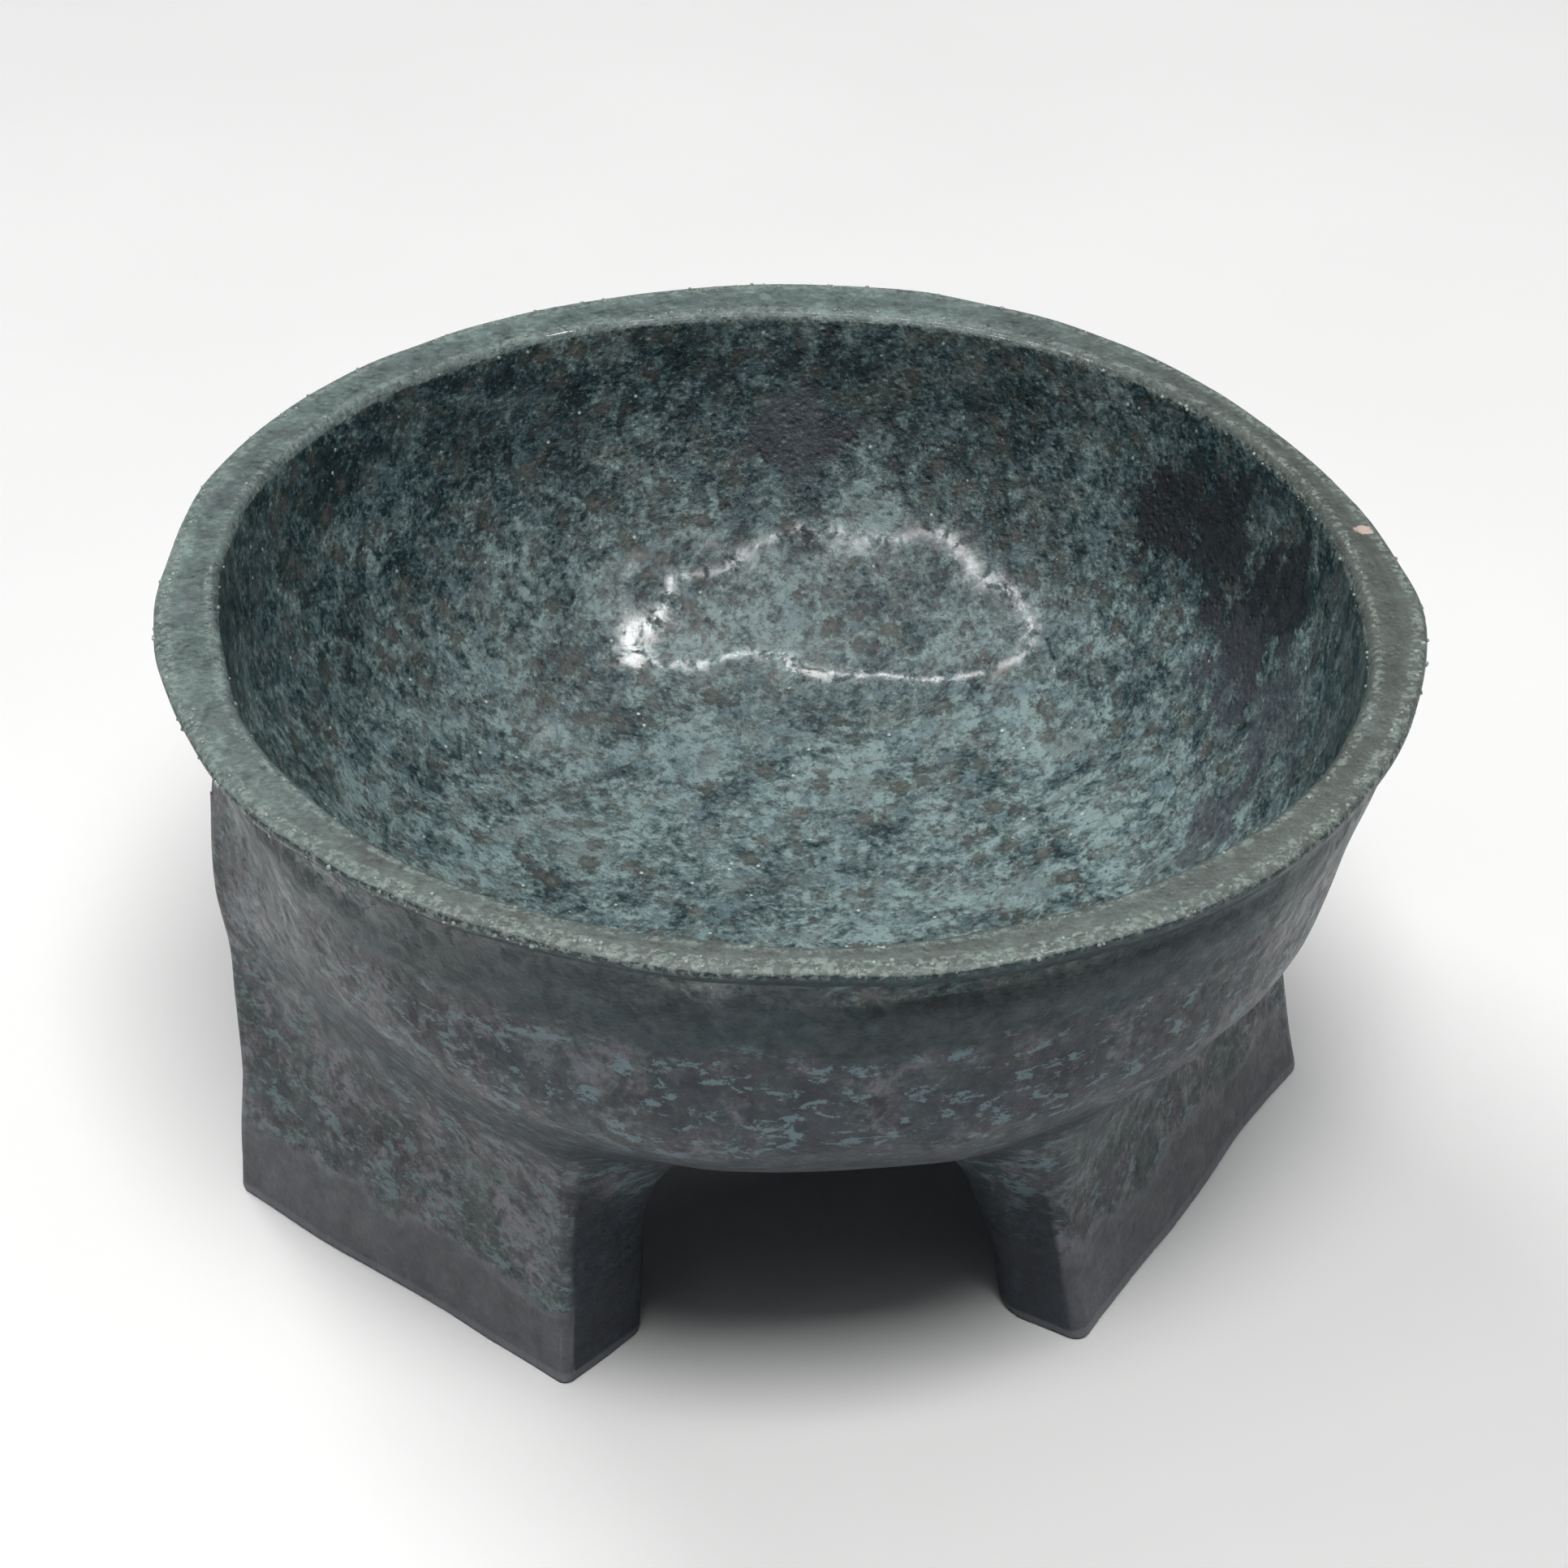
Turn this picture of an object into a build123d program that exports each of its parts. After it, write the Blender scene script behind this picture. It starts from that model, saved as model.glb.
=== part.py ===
"""A small hand-built ceramic molcajete: a deep oval bowl with a flat lip, standing on three slab legs.

Frame: millimetres, +Z up, the feet on Z = 0 and the origin under the middle of the rim.
The front, where two of the legs stand either side of an open arch, faces -Y.
Every piece meets its neighbours face to face, the way leather-hard clay is luted together.
"""
import os
from math import cos, radians, sin

from build123d import *

# Hand-made unevenness of the rings that make up the bowl
RIM_OVAL = 0.047
MOUTH_OVAL = 0.042
OVAL_DIRECTION = radians(93.0)
RIM_WAVES = ((3, 0.60, radians(-46.0)), (4, 0.50, radians(-40.0)), (5, 0.45, radians(-12.0)))
MOUTH_WAVES = ((1, 0.90, radians(-70.0)), (4, 0.60, radians(-43.0)))
POINTS_PER_RING = 36

# Ring profiles in mm: height above the ground, mean radius, share of the waves at that height.
# The lip is laid on the belly's top ring, 68.5 above the ground, and ends at the full height, 76.
BELLY_RINGS = (
    (22.0, 20.0, 0.0), (23.0, 30.0, 0.1), (25.8, 39.0, 0.2), (29.8, 46.5, 0.3), (35.2, 54.0, 0.4),
    (42.0, 60.5, 0.5), (49.5, 65.2, 0.6), (56.5, 68.4, 0.7), (63.0, 70.6, 0.8), (68.5, 71.6, 0.9),
)
LIP_RINGS = (
    (68.5, 71.6, 0.9), (70.5, 73.3, 1.0), (73.0, 74.7, 1.0), (75.0, 75.2, 1.0), (76.0, 74.7, 1.0),
)
HOLLOW_RINGS = (
    (28.0, 15.0, 0.0), (29.5, 27.5, 0.1), (32.5, 38.5, 0.2), (37.0, 48.0, 0.3), (43.0, 55.0, 0.4),
    (50.0, 60.5, 0.6), (58.0, 64.5, 0.8), (66.0, 67.0, 0.9), (76.0, 68.4, 1.0),
)

# Legs: where the middle of the outer face stands, which way it faces, and how long it is
LEGS = {
    "left_leg": {"at": (-50.9, -26.9), "facing": 219.1, "length": 55.2, "corner": 2.0},
    "right_leg": {"at": (46.0, -27.8), "facing": 320.5, "length": 62.0, "corner": 4.0},
    "back_leg": {"at": (-2.1, 57.2), "facing": 90.0, "length": 58.0, "corner": 3.0},
}
LEG_THICKNESS = 14.0
LEG_TOP = 60.0
LEG_HOLLOW = 1.2
LEG_HOLLOW_HEIGHT = 26.0
LEG_FLARE = 2.2
FOOT_EDGE_RADIUS = 0.8

# Clay coils pressed into the corner between each leg and the belly: thin at the foot, spreading upwards
COIL_FOOT_HEIGHT = 10.0
COIL_TOP_HEIGHT = 56.0
COIL_EDGE = 0.7
COIL_SPREAD = 8.0
COIL_CURVE = 1.6
COIL_SECTIONS = 6
COIL_ROUNDING = 3.5


def ring_face(height, mean, share, oval, waves):
    """Flat face bounded by one uneven oval ring of the bowl."""
    points = []
    for step in range(POINTS_PER_RING):
        angle = radians(360.0 * step / POINTS_PER_RING)
        radius = mean * (1.0 + oval * cos(2.0 * (angle - OVAL_DIRECTION)))
        radius += share * sum(size * cos(count * (angle - start)) for count, size, start in waves)
        points.append((radius * cos(angle), radius * sin(angle), height))
    return make_face(Spline(points, periodic=True))


def ring_loft(rings, oval, waves):
    """Closed solid that passes through a stack of uneven rings."""
    return loft([ring_face(height, mean, share, oval, waves) for height, mean, share in rings])


def make_bowl(belly, hollow):
    """Thick basin with a round belly, open at the top, ending where the lip is laid on."""
    return belly - hollow


def make_lip(hollow):
    """Flat-topped coil that finishes the wall and overhangs the belly a little."""
    return ring_loft(LIP_RINGS, RIM_OVAL, RIM_WAVES) - hollow


def leg_plane(leg):
    """Plane at the foot of a leg: X outwards through the outer face, Y along the face, Z up."""
    facing = radians(leg["facing"])
    return Plane(origin=(*leg["at"], 0.0), x_dir=(cos(facing), sin(facing), 0.0), z_dir=(0.0, 0.0, 1.0))


def leg_slab(leg):
    """Thick slab whose outer face is gently hollow, standing upright in its own plane."""
    outer_foot = (0.0, 0.0)
    outer_waist = (-LEG_HOLLOW, LEG_HOLLOW_HEIGHT)
    outer_top = (LEG_FLARE, LEG_TOP)
    inner_top = (-LEG_THICKNESS, LEG_TOP)
    inner_foot = (-LEG_THICKNESS, 0.0)
    outline = ThreePointArc(outer_foot, outer_waist, outer_top) + Polyline(
        outer_top, inner_top, inner_foot, outer_foot
    )
    slab = extrude(Plane.XZ * make_face(outline), amount=leg["length"] / 2.0, both=True)
    upright_edges = slab.edges().filter_by(lambda edge: abs(edge.center().Y) > leg["length"] / 2.0 - 0.1)
    upright_edges = upright_edges.filter_by(lambda edge: edge.bounding_box().size.Z > LEG_TOP / 2.0)
    slab = fillet(upright_edges, leg["corner"])
    return fillet(slab.faces().sort_by(Axis.Z)[0].edges(), FOOT_EDGE_RADIUS)


def make_leg(leg, belly):
    """One leg: its slab, cut to sit on the outside of the belly."""
    return leg_plane(leg) * leg_slab(leg) - belly


def coil_section(leg, climb):
    """Outline of a coil, from its thin foot at climb 0 to its wide top at climb 1."""
    height = COIL_FOOT_HEIGHT + (COIL_TOP_HEIGHT - COIL_FOOT_HEIGHT) * climb
    spread = COIL_EDGE + COIL_SPREAD * climb**COIL_CURVE
    outer = -LEG_HOLLOW - leg["corner"]
    depth = LEG_THICKNESS + outer + spread
    outline = RectangleRounded(depth, leg["length"] + 2.0 * spread, COIL_ROUNDING)
    return Pos(outer - depth / 2.0, 0.0, height) * outline


def make_coil(leg, belly):
    """Wedge of clay around the inner side and both ends of a leg, filling the corner under the belly."""
    last = COIL_SECTIONS - 1
    wedge = loft([coil_section(leg, step / last) for step in range(COIL_SECTIONS)])
    return leg_plane(leg) * (wedge - leg_slab(leg)) - belly


def main():
    """Write every piece of the molcajete as its own STEP file."""
    os.makedirs("parts", exist_ok=True)
    belly = ring_loft(BELLY_RINGS, RIM_OVAL, RIM_WAVES)
    hollow = ring_loft(HOLLOW_RINGS, MOUTH_OVAL, MOUTH_WAVES)
    pieces = {"bowl": make_bowl(belly, hollow), "rim_lip": make_lip(hollow)}
    for name, leg in LEGS.items():
        pieces[name] = make_leg(leg, belly)
        pieces[f"{name}_coil"] = make_coil(leg, belly)
    for name, shape in pieces.items():
        export_step(shape, f"parts/{name}.step")
        print(name, len(shape.solids()), "solid", round(shape.volume / 1000.0, 1), "cm3")


main()
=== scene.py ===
"""Glazed ceramic molcajete: a hand-built bowl with a flat lip on three slab legs, its glaze, light and floor.

The clay is one continuous body in the kiln, so its shape is one distance field, from which every piece is
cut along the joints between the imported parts. Sizes are in metres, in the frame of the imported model.
"""

import math

import bmesh
import bpy
import numpy as np
import openvdb
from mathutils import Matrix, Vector


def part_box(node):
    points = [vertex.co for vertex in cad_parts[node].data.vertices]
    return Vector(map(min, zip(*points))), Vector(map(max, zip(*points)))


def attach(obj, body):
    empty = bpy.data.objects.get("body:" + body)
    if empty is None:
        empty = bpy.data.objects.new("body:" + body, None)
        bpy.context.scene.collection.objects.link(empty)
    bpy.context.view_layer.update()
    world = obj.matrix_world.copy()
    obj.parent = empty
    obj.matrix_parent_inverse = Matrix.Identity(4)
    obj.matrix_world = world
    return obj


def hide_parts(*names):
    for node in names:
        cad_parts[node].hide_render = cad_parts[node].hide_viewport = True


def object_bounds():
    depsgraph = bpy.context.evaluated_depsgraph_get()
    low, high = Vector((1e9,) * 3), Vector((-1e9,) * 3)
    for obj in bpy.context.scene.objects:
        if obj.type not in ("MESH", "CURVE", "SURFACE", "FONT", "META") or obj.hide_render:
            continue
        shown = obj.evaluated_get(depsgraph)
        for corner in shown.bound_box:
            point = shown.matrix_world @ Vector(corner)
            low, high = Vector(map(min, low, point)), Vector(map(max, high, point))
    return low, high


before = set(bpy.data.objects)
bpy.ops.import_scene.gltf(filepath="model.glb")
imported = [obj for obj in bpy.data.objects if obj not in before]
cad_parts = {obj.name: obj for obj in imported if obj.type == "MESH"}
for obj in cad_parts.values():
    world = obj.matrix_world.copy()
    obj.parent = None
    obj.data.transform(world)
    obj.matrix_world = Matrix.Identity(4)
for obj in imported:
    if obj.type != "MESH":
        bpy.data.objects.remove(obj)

bl_info = {
    "name": "Ceramic molcajete",
    "version": (1, 0, 0),
    "blender": (4, 5, 0),
    "location": "View3D > Sidebar > Molcajete",
    "description": "Builds a hand-built glazed molcajete around its packed parts",
    "category": "Add Mesh",
}

MM = 0.001
PACKED_LOW, PACKED_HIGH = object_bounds()

# Unevenness of the rings of the bowl: waves round the rim, size and where each one peaks
OVAL_DIRECTION = math.radians(93.0)
OUTER_OVAL = 0.047
INNER_OVAL = 0.042
OUTER_WAVES = ((3, 0.60 * MM, math.radians(-46.0)), (4, 0.50 * MM, math.radians(-40.0)),
               (5, 0.45 * MM, math.radians(-12.0)))
INNER_WAVES = ((1, 0.90 * MM, math.radians(-70.0)), (4, 0.60 * MM, math.radians(-43.0)))

# Turned outlines, radius and height in millimetres
BELLY_OUTLINE = (
    (0.0, 22.0), (20.0, 22.0), (30.0, 23.0), (39.0, 25.8), (46.5, 29.8), (54.0, 35.2), (60.5, 42.0),
    (65.2, 49.5), (68.6, 56.5), (71.1, 62.5), (72.9, 67.5), (74.3, 71.5), (75.1, 75.5), (75.4, 84.0),
)
HOLLOW_OUTLINE = (
    (0.0, 28.0), (15.0, 28.2), (27.5, 29.7), (38.5, 32.8), (48.0, 37.2), (55.0, 43.2),
    (60.5, 50.5), (64.5, 58.5), (66.8, 66.0), (68.3, 75.5), (68.9, 84.0),
)

# Legs, in millimetres and degrees: where the middle of the outer face stands, the way it faces, its length,
# the radii of its outer and inner corners, how far its top leans out and how far its face is hollowed
LEGS = {
    "left_leg": {"at": (-50.9, -26.9), "facing": 219.1, "length": 55.2,
                 "outer": 1.3, "inner": 2.4, "flare": 0.6, "hollow": 1.4},
    "right_leg": {"at": (46.0, -27.8), "facing": 320.5, "length": 62.0,
                  "outer": 2.2, "inner": 6.0, "flare": 0.0, "hollow": 4.2},
    "back_leg": {"at": (-2.1, 57.2), "facing": 90.0, "length": 58.0,
                 "outer": 2.4, "inner": 4.0, "flare": 1.6, "hollow": 1.6},
}

# Thin dark slip on the wall of the hollow: centre of each patch and how far it reaches, in millimetres
DARK_PATCHES = (((55.0, 33.0, 62.0), 7.0), ((60.0, 20.0, 62.0), 8.0), ((63.0, 6.0, 65.0), 7.0),
                ((60.0, 11.0, 56.0), 7.0))
PURPLE_PATCHES = (((58.0, 10.0, 51.0), 7.5), ((60.0, -6.0, 53.0), 9.0), ((53.0, -9.0, 43.0), 6.0),
                  ((14.0, 65.0, 59.0), 6.5))

# Painted highlights: pale patches on the shoulder and down the right leg's face that stand in for sheen, and a
# chip in the lip, in millimetres
PAINTED_HIGHLIGHT_PATCHES = (((-67.0, -16.0, 63.0), 7.0), ((-60.0, -33.0, 63.0), 6.0), ((60.0, -8.0, 30.0), 7.0),
                ((53.0, -16.0, 27.0), 7.0), ((45.0, -25.0, 24.0), 6.0))
LIP_CHIP = ((68.9, -1.0, 75.6), 1.3)
BARE_CLAY = (0.52, 0.40, 0.35)

# Crumbs: they lie above a height, where the surface bends at least this sharply
LIP_EDGE_HEIGHT = 74.2 * MM
LIP_EDGE_BEND = 0.64
SMALLEST_CRUMB = 0.10 * MM
LARGEST_CRUMB = 0.34 * MM
CRUMB_SEED = 7

# Lights, in metres and watts: the panel overhead, the brighter strips round its edge that only reflections
# show, and the soft lamps that no reflection shows (where each stands, what it aims at, its size and power)
PANEL_CENTRE = (-0.31, -0.30, 0.95)
PANEL_SIZE = (1.28, 0.84)
PANEL_POWER = 1.6
STRIP_WIDTH = 0.05
STRIP_POWER = 8.0
SOFT_LAMPS = {
    "key": ((0.0, -0.46, 1.0), (0.0, 0.0, 0.04), (0.36, 0.36), 9.2),
    "left": ((-1.3, -0.3, 0.9), (-0.05, 0.0, 0.05), (0.5, 0.5), 0.8),
    "window": ((-0.9, 1.7, 2.3), (0.0, 0.5, 0.0), (1.4, 1.0), 56.0),
    "right": ((1.3, 0.2, 0.45), (0.05, 0.0, 0.03), (0.5, 0.4), 3.2),
}
SKY_COLOUR = (0.86, 0.94, 1.0, 1.0)
SKY_STRENGTH = 0.06

# Room left round a piece's grid, below and above the bowl's, about a leg for the clay spread along its joint,
# and how far a cutting box reaches past what it cuts
GRID_ROOM = 2 * MM
BOWL_ROOM = 3 * MM
JOINT_ROOM = 14 * MM
CUT_ROOM = 1 * MM

# Reading the surface: the step that finds its slope, how far off its bend is felt, and the skin's thickness
SLOPE_STEP = 0.1 * MM
BEND_REACH = 1.5 * MM
SKIN_DEPTH = 0.12 * MM

# Half the side of the square tabletop, in metres
FLOOR_HALF = 3.0


class MolcajeteShape(bpy.types.PropertyGroup):
    """Sizes of the clay body"""

    leg_thickness: bpy.props.FloatProperty(
        name="Leg thickness", description="Thickness of the slab legs", default=14.0 * MM, unit="LENGTH")
    leg_top: bpy.props.FloatProperty(
        name="Leg top", description="Height at which the slabs end against the wall",
        default=62.0 * MM, unit="LENGTH")
    joint_blend: bpy.props.FloatProperty(
        name="Joint blend", description="Reach of the smoothed clay between leg and belly",
        default=14.0 * MM, unit="LENGTH")
    groove_depth: bpy.props.FloatProperty(
        name="Groove depth", description="Depth of the groove under the lip", default=4.2 * MM, unit="LENGTH")
    thinnest_wall: bpy.props.FloatProperty(
        name="Thinnest wall", description="Clay left between the groove under the lip and the hollow",
        default=2.6 * MM, unit="LENGTH")
    front_fullness: bpy.props.FloatProperty(
        name="Front fullness", description="How far the wall stands out above the front arch",
        default=3.4 * MM, unit="LENGTH")
    lip_rounding: bpy.props.FloatProperty(
        name="Lip rounding", description="Softness of the lip's two edges", default=1.3 * MM, unit="LENGTH")
    lumpiness: bpy.props.FloatProperty(
        name="Lumpiness", description="Height of the hand-made unevenness", default=0.75 * MM, unit="LENGTH")
    bowl_cell: bpy.props.FloatProperty(
        name="Bowl cell", description="Mesh size on the bowl", default=0.92 * MM, unit="LENGTH")
    fine_cell: bpy.props.FloatProperty(
        name="Fine cell", description="Mesh size on the lip and legs", default=0.5 * MM, unit="LENGTH")


class MolcajeteGlaze(bpy.types.PropertyGroup):
    """Colours and finish of the glaze, some of them also used for painted shade and painted glints"""

    # The hollow is painted darker towards the top of its wall and paler towards the bottom
    deep_teal: bpy.props.FloatVectorProperty(
        name="Deep teal", description="Thick glaze in the shade of the wall", subtype="COLOR", size=3,
        default=(0.015, 0.043, 0.051))
    grey_teal: bpy.props.FloatVectorProperty(
        name="Grey teal", description="Pooled glaze in the bottom of the bowl", subtype="COLOR", size=3,
        default=(0.112, 0.156, 0.154))
    pale_blue: bpy.props.FloatVectorProperty(
        name="Pale blue", description="Crystals floating in the glaze", subtype="COLOR", size=3,
        default=(0.135, 0.205, 0.225))
    # Brown also darkens the lip's front and right, partly as painted shade
    brown: bpy.props.FloatVectorProperty(
        name="Brown", description="Spots where the glaze breaks", subtype="COLOR", size=3,
        default=(0.062, 0.064, 0.055))
    purple: bpy.props.FloatVectorProperty(
        name="Purple", description="Thin dark slip", subtype="COLOR", size=3,
        default=(0.042, 0.046, 0.058))
    # Navy is dark glaze in the hollow's patches and in blotches outside, and also the colour of the painted
    # shade under the bowl, on the front and above the arches
    navy_and_painted_shade: bpy.props.FloatVectorProperty(
        name="Navy", description="Dark glaze of the sheltered undersides", subtype="COLOR", size=3,
        default=(0.030, 0.038, 0.050))
    lip_green: bpy.props.FloatVectorProperty(
        name="Lip green", description="Grey-green glaze on the lip", subtype="COLOR", size=3,
        default=(0.112, 0.150, 0.142))
    slip_grey: bpy.props.FloatVectorProperty(
        name="Slip grey", description="Purple-grey slip on the legs and belly", subtype="COLOR", size=3,
        default=(0.074, 0.076, 0.085))
    crumb_pale: bpy.props.FloatVectorProperty(
        name="Crumb pale", description="Crusty glaze along the lip's edges", subtype="COLOR", size=3,
        default=(0.230, 0.275, 0.250))
    crumb_density: bpy.props.FloatProperty(
        name="Crumb density", description="Crumbs to a square metre of edge", default=420000.0, min=0.0)
    roughness: bpy.props.FloatProperty(
        name="Roughness", description="Mean roughness of the satin surface", default=0.42, min=0.0, max=1.0)


class MolcajeteStage(bpy.types.PropertyGroup):
    """Camera, light and floor"""

    aim: bpy.props.FloatVectorProperty(
        name="Aim", description="Point the camera looks at", default=(0.5 * MM, 1.7 * MM, 46.2 * MM),
        subtype="TRANSLATION")
    azimuth: bpy.props.FloatProperty(
        name="Azimuth", description="Camera's way round the object",
        default=math.radians(-10.0), subtype="ANGLE")
    elevation: bpy.props.FloatProperty(
        name="Elevation", description="Camera's height angle", default=math.radians(33.0), subtype="ANGLE")
    distance: bpy.props.FloatProperty(
        name="Distance", description="Camera's distance from its aim", default=455.0 * MM, unit="LENGTH")
    lens: bpy.props.FloatProperty(
        name="Lens", description="Focal length in millimetres", default=87.6)
    floor_colour: bpy.props.FloatVectorProperty(
        name="Floor colour", description="Paint of the tabletop", subtype="COLOR", size=3,
        default=(0.79, 0.79, 0.78))


# ---- clay body


def blend_union(first, second, reach):
    """Lesser of two distances, with the crease between them filled over a given reach."""
    overlap = np.maximum(reach - np.abs(first - second), 0.0) / reach
    return np.minimum(first, second) - overlap * overlap * reach / 4.0


def blend_cut(first, second, reach):
    """Greater of two distances, with the edge between them rounded over a given reach."""
    return -blend_union(-first, -second, reach)


def smooth_step(value, low, high):
    """0 below low, 1 above high, and smooth between."""
    share = np.clip((value - low) / (high - low), 0.0, 1.0)
    return share * share * (3.0 - 2.0 * share)


class Outline:
    """Signed distance to a turned outline, read from a table over radius and height."""

    STEP = 0.4 * MM
    RADIUS_COUNT = 240
    HEIGHT_COUNT = 230
    BENDS = 8

    def __init__(self, points):
        curve = self.rounded(np.array(points) * MM)
        top = np.array([[0.0, curve[-1, 1]]])
        curve = np.concatenate([curve, top, curve[:1]])
        radius, height = np.meshgrid(
            np.arange(self.RADIUS_COUNT) * self.STEP, np.arange(self.HEIGHT_COUNT) * self.STEP, indexing="ij")
        nearest = np.full(radius.shape, np.inf)
        inside = np.zeros(radius.shape, bool)
        for (r0, z0), (r1, z1) in zip(curve[:-1], curve[1:]):
            along = (r1 - r0, z1 - z0)
            length = along[0] ** 2 + along[1] ** 2
            if length == 0.0:
                continue
            share = np.clip(((radius - r0) * along[0] + (height - z0) * along[1]) / length, 0.0, 1.0)
            gap = np.hypot(radius - r0 - share * along[0], height - z0 - share * along[1])
            if max(r0, r1) > 0.0:
                nearest = np.minimum(nearest, gap)
            crossing = (z0 > height) != (z1 > height)
            if z1 != z0:
                inside ^= crossing & (radius < (r1 - r0) * (height - z0) / (z1 - z0) + r0)
        self.table = np.where(inside, -nearest, nearest)

    def rounded(self, points):
        """Smooth curve through the points."""
        padded = np.concatenate([2 * points[:1] - points[1:2], points, 2 * points[-1:] - points[-2:-1]])
        shares = np.arange(self.BENDS)[:, None] / self.BENDS
        curve = []
        for before, start, end, after in zip(padded[:-3], padded[1:-2], padded[2:-1], padded[3:]):
            curve.append(0.5 * (2 * start + (end - before) * shares
                                + (2 * before - 5 * start + 4 * end - after) * shares**2
                                + (3 * start - before - 3 * end + after) * shares**3))
        return np.concatenate(curve + [points[-1:]])

    def distance(self, radius, height):
        """Distance at each radius and height."""
        across = np.clip(radius / self.STEP, 0, self.RADIUS_COUNT - 1.001)
        upward = np.clip(height / self.STEP, 0, self.HEIGHT_COUNT - 1.001)
        i, j = across.astype(int), upward.astype(int)
        u, v = across - i, upward - j
        table = self.table
        return ((1 - u) * ((1 - v) * table[i, j] + v * table[i, j + 1])
                + u * ((1 - v) * table[i + 1, j] + v * table[i + 1, j + 1]))


class Lumps:
    """Smooth seeded unevenness: random values on a lattice, blended between its points, from -1 to 1."""

    COUNT = 32
    TURN = (0.8, 0.6)
    TILT = (0.5, -0.4)

    def __init__(self, cell, seed):
        self.cell = cell
        self.values = np.random.default_rng(seed).uniform(-1.0, 1.0, (self.COUNT,) * 3)

    def at(self, x, y, z):
        """Unevenness at each point. The lattice is turned so that it doesn't line up with the bowl."""
        along, across = self.TURN
        rise, lean = self.TILT
        places = [(along * x - across * y) / self.cell,
                  (across * x + along * y + rise * z) / self.cell,
                  (z + lean * x) / self.cell]
        places = np.broadcast_arrays(*places)
        cells = [np.floor(place) for place in places]
        shares = [place - cell for place, cell in zip(places, cells)]
        shares = [share * share * (3.0 - 2.0 * share) for share in shares]
        near = [cell.astype(int) % self.COUNT for cell in cells]
        far = [(cell + 1) % self.COUNT for cell in near]
        total = 0.0
        for corner in range(8):
            picks = [far[axis] if corner >> axis & 1 else near[axis] for axis in range(3)]
            weights = [shares[axis] if corner >> axis & 1 else 1.0 - shares[axis] for axis in range(3)]
            total = total + self.values[picks[0], picks[1], picks[2]] * weights[0] * weights[1] * weights[2]
        return total


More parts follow.
